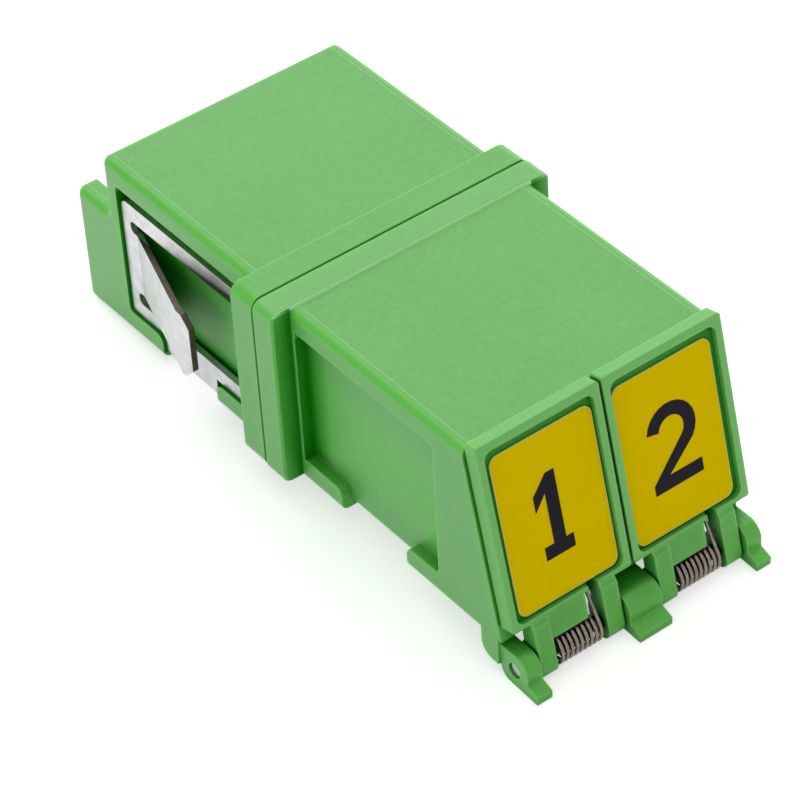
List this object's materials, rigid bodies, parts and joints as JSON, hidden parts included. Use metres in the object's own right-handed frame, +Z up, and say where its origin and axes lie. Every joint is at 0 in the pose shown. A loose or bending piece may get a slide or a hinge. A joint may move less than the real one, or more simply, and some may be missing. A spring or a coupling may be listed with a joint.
{
  "type": "shuttered duplex fibre adapter",
  "caption": "Panel-mount fibre coupler with a flange, a sprung sheet clip under the rear half and two sprung front shutters over its ports.",
  "frame": {"origin": "middle of the flange's rear face, which seats on the panel, at half the body's height", "axes": "+Z up, the latch side of the ports; +Y back through the panel to the open ports; +X to the right for someone who faces the shutters"},
  "size_m": [0.016, 0.0317, 0.0116],
  "materials": {
    "green_plastic": "moulded, satin",
    "clip_steel": "bright rolled sheet",
    "pin_steel": "drawn",
    "spring_steel": "drawn wire",
    "sleeve_ceramic": "ground",
    "label_yellow": "coated label stock"
  },
  "bodies": {
    "body": {"rear_housing": "green_plastic", "front_housing": "green_plastic", "mounting_clip": "clip_steel", "hinge_pin": "pin_steel", "left_sleeve": "sleeve_ceramic", "right_sleeve": "sleeve_ceramic"},
    "left_door": {"left_shutter": "green_plastic", "left_spring": "spring_steel", "left_label": "label_yellow"},
    "right_door": {"right_shutter": "green_plastic", "right_spring": "spring_steel", "right_label": "label_yellow"}
  },
  "joints": [
    {"name": "left_shutter_hinge", "type": "hinge", "parent": "body", "child": "left_door", "pos_m": [-0.00321, -0.01695, -0.00558], "axis": [1, 0, 0], "range_deg": [0, 105], "stiffness_Nm_per_rad": 0.00002, "springref_deg": -34.38},
    {"name": "right_shutter_hinge", "type": "hinge", "parent": "body", "child": "right_door", "pos_m": [0.00321, -0.01695, -0.00558], "axis": [1, 0, 0], "range_deg": [0, 105], "stiffness_Nm_per_rad": 0.00002, "springref_deg": -34.38}
  ]
}
